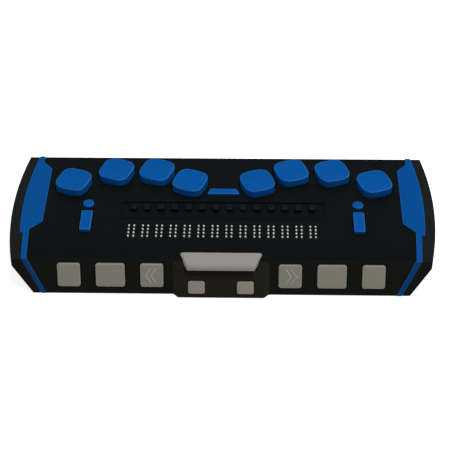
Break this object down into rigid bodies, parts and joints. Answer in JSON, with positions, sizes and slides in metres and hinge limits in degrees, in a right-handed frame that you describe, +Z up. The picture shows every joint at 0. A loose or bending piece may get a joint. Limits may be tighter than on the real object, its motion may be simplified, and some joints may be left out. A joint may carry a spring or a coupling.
{
  "type": "refreshable braille display",
  "caption": "Slim desk-top refreshable braille display with a line of reading cells, cursor routers, braille keys, rockers, panning buttons and a space bar.",
  "frame": {"origin": "middle of the bounding box, on the surface that the four feet stand on", "axes": "+X to the reader's right along the reading line, +Y away from the reader, +Z up"},
  "size_m": [0.1962, 0.081, 0.0203],
  "materials": {
    "shell_black": "fine textured matt black moulding",
    "cover_black": "smooth satin black reading plate",
    "key_blue": "satin blue key caps",
    "trim_blue": "matt blue trim",
    "button_grey": "satin warm grey buttons",
    "bar_grey": "satin light grey space bar",
    "router_black": "satin black small buttons",
    "pin_white": "white plastic reading pins on their reeds",
    "frame_grey": "dark grey inner moulding",
    "board_green": "green circuit board",
    "battery_silver": "silver film over a flat cell pack",
    "socket_steel": "plated steel shell"
  },
  "bodies": {
    "case": {"top_case": "shell_black", "bottom_case": "shell_black", "trim_left": "trim_blue", "trim_right": "trim_blue", "cell_cover": "cover_black", "inner_frame": "frame_grey", "main_board": "board_green", "battery": "battery_silver", "usb_socket": "socket_steel"},
    "braille_cell_01": {"braille_cell_01": "pin_white"},
    "braille_cell_02": {"braille_cell_02": "pin_white"},
    "braille_cell_03": {"braille_cell_03": "pin_white"},
    "braille_cell_04": {"braille_cell_04": "pin_white"},
    "braille_cell_05": {"braille_cell_05": "pin_white"},
    "braille_cell_06": {"braille_cell_06": "pin_white"},
    "braille_cell_07": {"braille_cell_07": "pin_white"},
    "braille_cell_08": {"braille_cell_08": "pin_white"},
    "braille_cell_09": {"braille_cell_09": "pin_white"},
    "braille_cell_10": {"braille_cell_10": "pin_white"},
    "braille_cell_11": {"braille_cell_11": "pin_white"},
    "braille_cell_12": {"braille_cell_12": "pin_white"},
    "braille_cell_13": {"braille_cell_13": "pin_white"},
    "braille_cell_14": {"braille_cell_14": "pin_white"},
    "key_dot_1": {"key_dot_1": "key_blue"},
    "key_dot_2": {"key_dot_2": "key_blue"},
    "key_dot_3": {"key_dot_3": "key_blue"},
    "key_dot_4": {"key_dot_4": "key_blue"},
    "key_dot_5": {"key_dot_5": "key_blue"},
    "key_dot_6": {"key_dot_6": "key_blue"},
    "key_dot_7": {"key_dot_7": "key_blue"},
    "key_dot_8": {"key_dot_8": "key_blue"},
    "menu_button": {"menu_button": "key_blue"},
    "nav_button_left": {"nav_button_left": "key_blue"},
    "nav_button_right": {"nav_button_right": "key_blue"},
    "nav_rocker_left": {"nav_rocker_left": "key_blue"},
    "nav_rocker_right": {"nav_rocker_right": "key_blue"},
    "panning_button_left": {"panning_button_left": "button_grey"},
    "panning_button_right": {"panning_button_right": "button_grey"},
    "power_button": {"power_button": "router_black"},
    "rocker_bar_left": {"rocker_bar_left": "button_grey"},
    "rocker_bar_right": {"rocker_bar_right": "button_grey"},
    "router_button_01": {"router_button_01": "router_black"},
    "router_button_02": {"router_button_02": "router_black"},
    "router_button_03": {"router_button_03": "router_black"},
    "router_button_04": {"router_button_04": "router_black"},
    "router_button_05": {"router_button_05": "router_black"},
    "router_button_06": {"router_button_06": "router_black"},
    "router_button_07": {"router_button_07": "router_black"},
    "router_button_08": {"router_button_08": "router_black"},
    "router_button_09": {"router_button_09": "router_black"},
    "router_button_10": {"router_button_10": "router_black"},
    "router_button_11": {"router_button_11": "router_black"},
    "router_button_12": {"router_button_12": "router_black"},
    "router_button_13": {"router_button_13": "router_black"},
    "router_button_14": {"router_button_14": "router_black"},
    "selector_button_left": {"selector_button_left": "button_grey"},
    "selector_button_right": {"selector_button_right": "button_grey"},
    "shift_button_left": {"shift_button_left": "button_grey"},
    "shift_button_right": {"shift_button_right": "button_grey"},
    "space_bar": {"space_bar": "bar_grey"}
  },
  "joints": [
    {"name": "braille_cell_01_lower", "type": "hinge", "parent": "case", "child": "braille_cell_01", "pos_m": [-0.0416, 0.0218, 0.0069], "axis": [1, 0, 0], "range_deg": [0, 1.11], "stiffness_Nm_per_rad": 0.5, "springref_deg": -1.15},
    {"name": "braille_cell_02_lower", "type": "hinge", "parent": "case", "child": "braille_cell_02", "pos_m": [-0.0352, 0.0218, 0.0069], "axis": [1, 0, 0], "range_deg": [0, 1.11], "stiffness_Nm_per_rad": 0.5, "springref_deg": -1.15},
    {"name": "braille_cell_03_lower", "type": "hinge", "parent": "case", "child": "braille_cell_03", "pos_m": [-0.0288, 0.0218, 0.0069], "axis": [1, 0, 0], "range_deg": [0, 1.11], "stiffness_Nm_per_rad": 0.5, "springref_deg": -1.15},
    {"name": "braille_cell_04_lower", "type": "hinge", "parent": "case", "child": "braille_cell_04", "pos_m": [-0.0224, 0.0218, 0.0069], "axis": [1, 0, 0], "range_deg": [0, 1.11], "stiffness_Nm_per_rad": 0.5, "springref_deg": -1.15},
    {"name": "braille_cell_05_lower", "type": "hinge", "parent": "case", "child": "braille_cell_05", "pos_m": [-0.016, 0.0218, 0.0069], "axis": [1, 0, 0], "range_deg": [0, 1.11], "stiffness_Nm_per_rad": 0.5, "springref_deg": -1.15},
    {"name": "braille_cell_06_lower", "type": "hinge", "parent": "case", "child": "braille_cell_06", "pos_m": [-0.0096, 0.0218, 0.0069], "axis": [1, 0, 0], "range_deg": [0, 1.11], "stiffness_Nm_per_rad": 0.5, "springref_deg": -1.15},
    {"name": "braille_cell_07_lower", "type": "hinge", "parent": "case", "child": "braille_cell_07", "pos_m": [-0.0032, 0.0218, 0.0069], "axis": [1, 0, 0], "range_deg": [0, 1.11], "stiffness_Nm_per_rad": 0.5, "springref_deg": -1.15},
    {"name": "braille_cell_08_lower", "type": "hinge", "parent": "case", "child": "braille_cell_08", "pos_m": [0.0032, 0.0218, 0.0069], "axis": [1, 0, 0], "range_deg": [0, 1.11], "stiffness_Nm_per_rad": 0.5, "springref_deg": -1.15},
    {"name": "braille_cell_09_lower", "type": "hinge", "parent": "case", "child": "braille_cell_09", "pos_m": [0.0096, 0.0218, 0.0069], "axis": [1, 0, 0], "range_deg": [0, 1.11], "stiffness_Nm_per_rad": 0.5, "springref_deg": -1.15},
    {"name": "braille_cell_10_lower", "type": "hinge", "parent": "case", "child": "braille_cell_10", "pos_m": [0.016, 0.0218, 0.0069], "axis": [1, 0, 0], "range_deg": [0, 1.11], "stiffness_Nm_per_rad": 0.5, "springref_deg": -1.15},
    {"name": "braille_cell_11_lower", "type": "hinge", "parent": "case", "child": "braille_cell_11", "pos_m": [0.0224, 0.0218, 0.0069], "axis": [1, 0, 0], "range_deg": [0, 1.11], "stiffness_Nm_per_rad": 0.5, "springref_deg": -1.15},
    {"name": "braille_cell_12_lower", "type": "hinge", "parent": "case", "child": "braille_cell_12", "pos_m": [0.0288, 0.0218, 0.0069], "axis": [1, 0, 0], "range_deg": [0, 1.11], "stiffness_Nm_per_rad": 0.5, "springref_deg": -1.15},
    {"name": "braille_cell_13_lower", "type": "hinge", "parent": "case", "child": "braille_cell_13", "pos_m": [0.0352, 0.0218, 0.0069], "axis": [1, 0, 0], "range_deg": [0, 1.11], "stiffness_Nm_per_rad": 0.5, "springref_deg": -1.15},
    {"name": "braille_cell_14_lower", "type": "hinge", "parent": "case", "child": "braille_cell_14", "pos_m": [0.0416, 0.0218, 0.0069], "axis": [1, 0, 0], "range_deg": [0, 1.11], "stiffness_Nm_per_rad": 0.5, "springref_deg": -1.15},
    {"name": "key_dot_1_press", "type": "slide", "parent": "case", "child": "key_dot_1", "axis": [0, 0, -1], "range_m": [0, 0.0015], "stiffness_N_per_m": 300, "springref_m": -0.001},
    {"name": "key_dot_2_press", "type": "slide", "parent": "case", "child": "key_dot_2", "axis": [0, 0, -1], "range_m": [0, 0.0015], "stiffness_N_per_m": 300, "springref_m": -0.001},
    {"name": "key_dot_3_press", "type": "slide", "parent": "case", "child": "key_dot_3", "axis": [0, 0, -1], "range_m": [0, 0.0015], "stiffness_N_per_m": 300, "springref_m": -0.001},
    {"name": "key_dot_4_press", "type": "slide", "parent": "case", "child": "key_dot_4", "axis": [0, 0, -1], "range_m": [0, 0.0015], "stiffness_N_per_m": 300, "springref_m": -0.001},
    {"name": "key_dot_5_press", "type": "slide", "parent": "case", "child": "key_dot_5", "axis": [0, 0, -1], "range_m": [0, 0.0015], "stiffness_N_per_m": 300, "springref_m": -0.001},
    {"name": "key_dot_6_press", "type": "slide", "parent": "case", "child": "key_dot_6", "axis": [0, 0, -1], "range_m": [0, 0.0015], "stiffness_N_per_m": 300, "springref_m": -0.001},
    {"name": "key_dot_7_press", "type": "slide", "parent": "case", "child": "key_dot_7", "axis": [0, 0, -1], "range_m": [0, 0.0015], "stiffness_N_per_m": 300, "springref_m": -0.001},
    {"name": "key_dot_8_press", "type": "slide", "parent": "case", "child": "key_dot_8", "axis": [0, 0, -1], "range_m": [0, 0.0015], "stiffness_N_per_m": 300, "springref_m": -0.001},
    {"name": "menu_button_press", "type": "slide", "parent": "case", "child": "menu_button", "axis": [0, 0, -1], "range_m": [0, 0.0007], "stiffness_N_per_m": 300, "springref_m": -0.001},
    {"name": "nav_button_left_press", "type": "slide", "parent": "case", "child": "nav_button_left", "axis": [0, 0, -1], "range_m": [0, 0.0007], "stiffness_N_per_m": 300, "springref_m": -0.001},
    {"name": "nav_button_right_press", "type": "slide", "parent": "case", "child": "nav_button_right", "axis": [0, 0, -1], "range_m": [0, 0.0007], "stiffness_N_per_m": 300, "springref_m": -0.001},
    {"name": "nav_rocker_left_tilt", "type": "hinge", "parent": "case", "child": "nav_rocker_left", "pos_m": [-0.06285, -0.0082, 0.0145], "axis": [1, 0, 0], "range_deg": [-4, 4], "stiffness_Nm_per_rad": 0.02},
    {"name": "nav_rocker_right_tilt", "type": "hinge", "parent": "case", "child": "nav_rocker_right", "pos_m": [0.06285, -0.0082, 0.0145], "axis": [1, 0, 0], "range_deg": [-4, 4], "stiffness_Nm_per_rad": 0.02},
    {"name": "panning_button_left_press", "type": "slide", "parent": "case", "child": "panning_button_left", "axis": [0, 0.9552, -0.2958], "range_m": [0, 0.0008], "stiffness_N_per_m": 300, "springref_m": -0.001},
    {"name": "panning_button_right_press", "type": "slide", "parent": "case", "child": "panning_button_right", "axis": [0, 0.9552, -0.2958], "range_m": [0, 0.0008], "stiffness_N_per_m": 300, "springref_m": -0.001},
    {"name": "power_button_press", "type": "slide", "parent": "case", "child": "power_button", "axis": [0, -1, 0], "range_m": [0, 0.0006], "stiffness_N_per_m": 300, "springref_m": -0.001},
    {"name": "rocker_bar_left_tilt", "type": "hinge", "parent": "case", "child": "rocker_bar_left", "pos_m": [-0.04983, -0.03228, 0.00869], "axis": [1, 0, 0], "range_deg": [-4, 4], "stiffness_Nm_per_rad": 0.02},
    {"name": "rocker_bar_right_tilt", "type": "hinge", "parent": "case", "child": "rocker_bar_right", "pos_m": [0.04983, -0.03228, 0.00869], "axis": [1, 0, 0], "range_deg": [-4, 4], "stiffness_Nm_per_rad": 0.02},
    {"name": "router_button_01_press", "type": "slide", "parent": "case", "child": "router_button_01", "axis": [0, 0, -1], "range_m": [0, 0.0006], "stiffness_N_per_m": 300, "springref_m": -0.001},
    {"name": "router_button_02_press", "type": "slide", "parent": "case", "child": "router_button_02", "axis": [0, 0, -1], "range_m": [0, 0.0006], "stiffness_N_per_m": 300, "springref_m": -0.001},
    {"name": "router_button_03_press", "type": "slide", "parent": "case", "child": "router_button_03", "axis": [0, 0, -1], "range_m": [0, 0.0006], "stiffness_N_per_m": 300, "springref_m": -0.001},
    {"name": "router_button_04_press", "type": "slide", "parent": "case", "child": "router_button_04", "axis": [0, 0, -1], "range_m": [0, 0.0006], "stiffness_N_per_m": 300, "springref_m": -0.001},
    {"name": "router_button_05_press", "type": "slide", "parent": "case", "child": "router_button_05", "axis": [0, 0, -1], "range_m": [0, 0.0006], "stiffness_N_per_m": 300, "springref_m": -0.001},
    {"name": "router_button_06_press", "type": "slide", "parent": "case", "child": "router_button_06", "axis": [0, 0, -1], "range_m": [0, 0.0006], "stiffness_N_per_m": 300, "springref_m": -0.001},
    {"name": "router_button_07_press", "type": "slide", "parent": "case", "child": "router_button_07", "axis": [0, 0, -1], "range_m": [0, 0.0006], "stiffness_N_per_m": 300, "springref_m": -0.001},
    {"name": "router_button_08_press", "type": "slide", "parent": "case", "child": "router_button_08", "axis": [0, 0, -1], "range_m": [0, 0.0006], "stiffness_N_per_m": 300, "springref_m": -0.001},
    {"name": "router_button_09_press", "type": "slide", "parent": "case", "child": "router_button_09", "axis": [0, 0, -1], "range_m": [0, 0.0006], "stiffness_N_per_m": 300, "springref_m": -0.001},
    {"name": "router_button_10_press", "type": "slide", "parent": "case", "child": "router_button_10", "axis": [0, 0, -1], "range_m": [0, 0.0006], "stiffness_N_per_m": 300, "springref_m": -0.001},
    {"name": "router_button_11_press", "type": "slide", "parent": "case", "child": "router_button_11", "axis": [0, 0, -1], "range_m": [0, 0.0006], "stiffness_N_per_m": 300, "springref_m": -0.001},
    {"name": "router_button_12_press", "type": "slide", "parent": "case", "child": "router_button_12", "axis": [0, 0, -1], "range_m": [0, 0.0006], "stiffness_N_per_m": 300, "springref_m": -0.001},
    {"name": "router_button_13_press", "type": "slide", "parent": "case", "child": "router_button_13", "axis": [0, 0, -1], "range_m": [0, 0.0006], "stiffness_N_per_m": 300, "springref_m": -0.001},
    {"name": "router_button_14_press", "type": "slide", "parent": "case", "child": "router_button_14", "axis": [0, 0, -1], "range_m": [0, 0.0006], "stiffness_N_per_m": 300, "springref_m": -0.001},
    {"name": "selector_button_left_press", "type": "slide", "parent": "case", "child": "selector_button_left", "axis": [0, 0.9552, -0.2958], "range_m": [0, 0.0008], "stiffness_N_per_m": 300, "springref_m": -0.001},
    {"name": "selector_button_right_press", "type": "slide", "parent": "case", "child": "selector_button_right", "axis": [0, 0.9552, -0.2958], "range_m": [0, 0.0008], "stiffness_N_per_m": 300, "springref_m": -0.001},
    {"name": "shift_button_left_press", "type": "slide", "parent": "case", "child": "shift_button_left", "axis": [0, 0.9294, -0.3691], "range_m": [0, 0.0008], "stiffness_N_per_m": 300, "springref_m": -0.001},
    {"name": "shift_button_right_press", "type": "slide", "parent": "case", "child": "shift_button_right", "axis": [0, 0.9294, -0.3691], "range_m": [0, 0.0008], "stiffness_N_per_m": 300, "springref_m": -0.001},
    {"name": "space_bar_press", "type": "slide", "parent": "case", "child": "space_bar", "axis": [0, 0, -1], "range_m": [0, 0.0012], "stiffness_N_per_m": 300, "springref_m": -0.001}
  ]
}
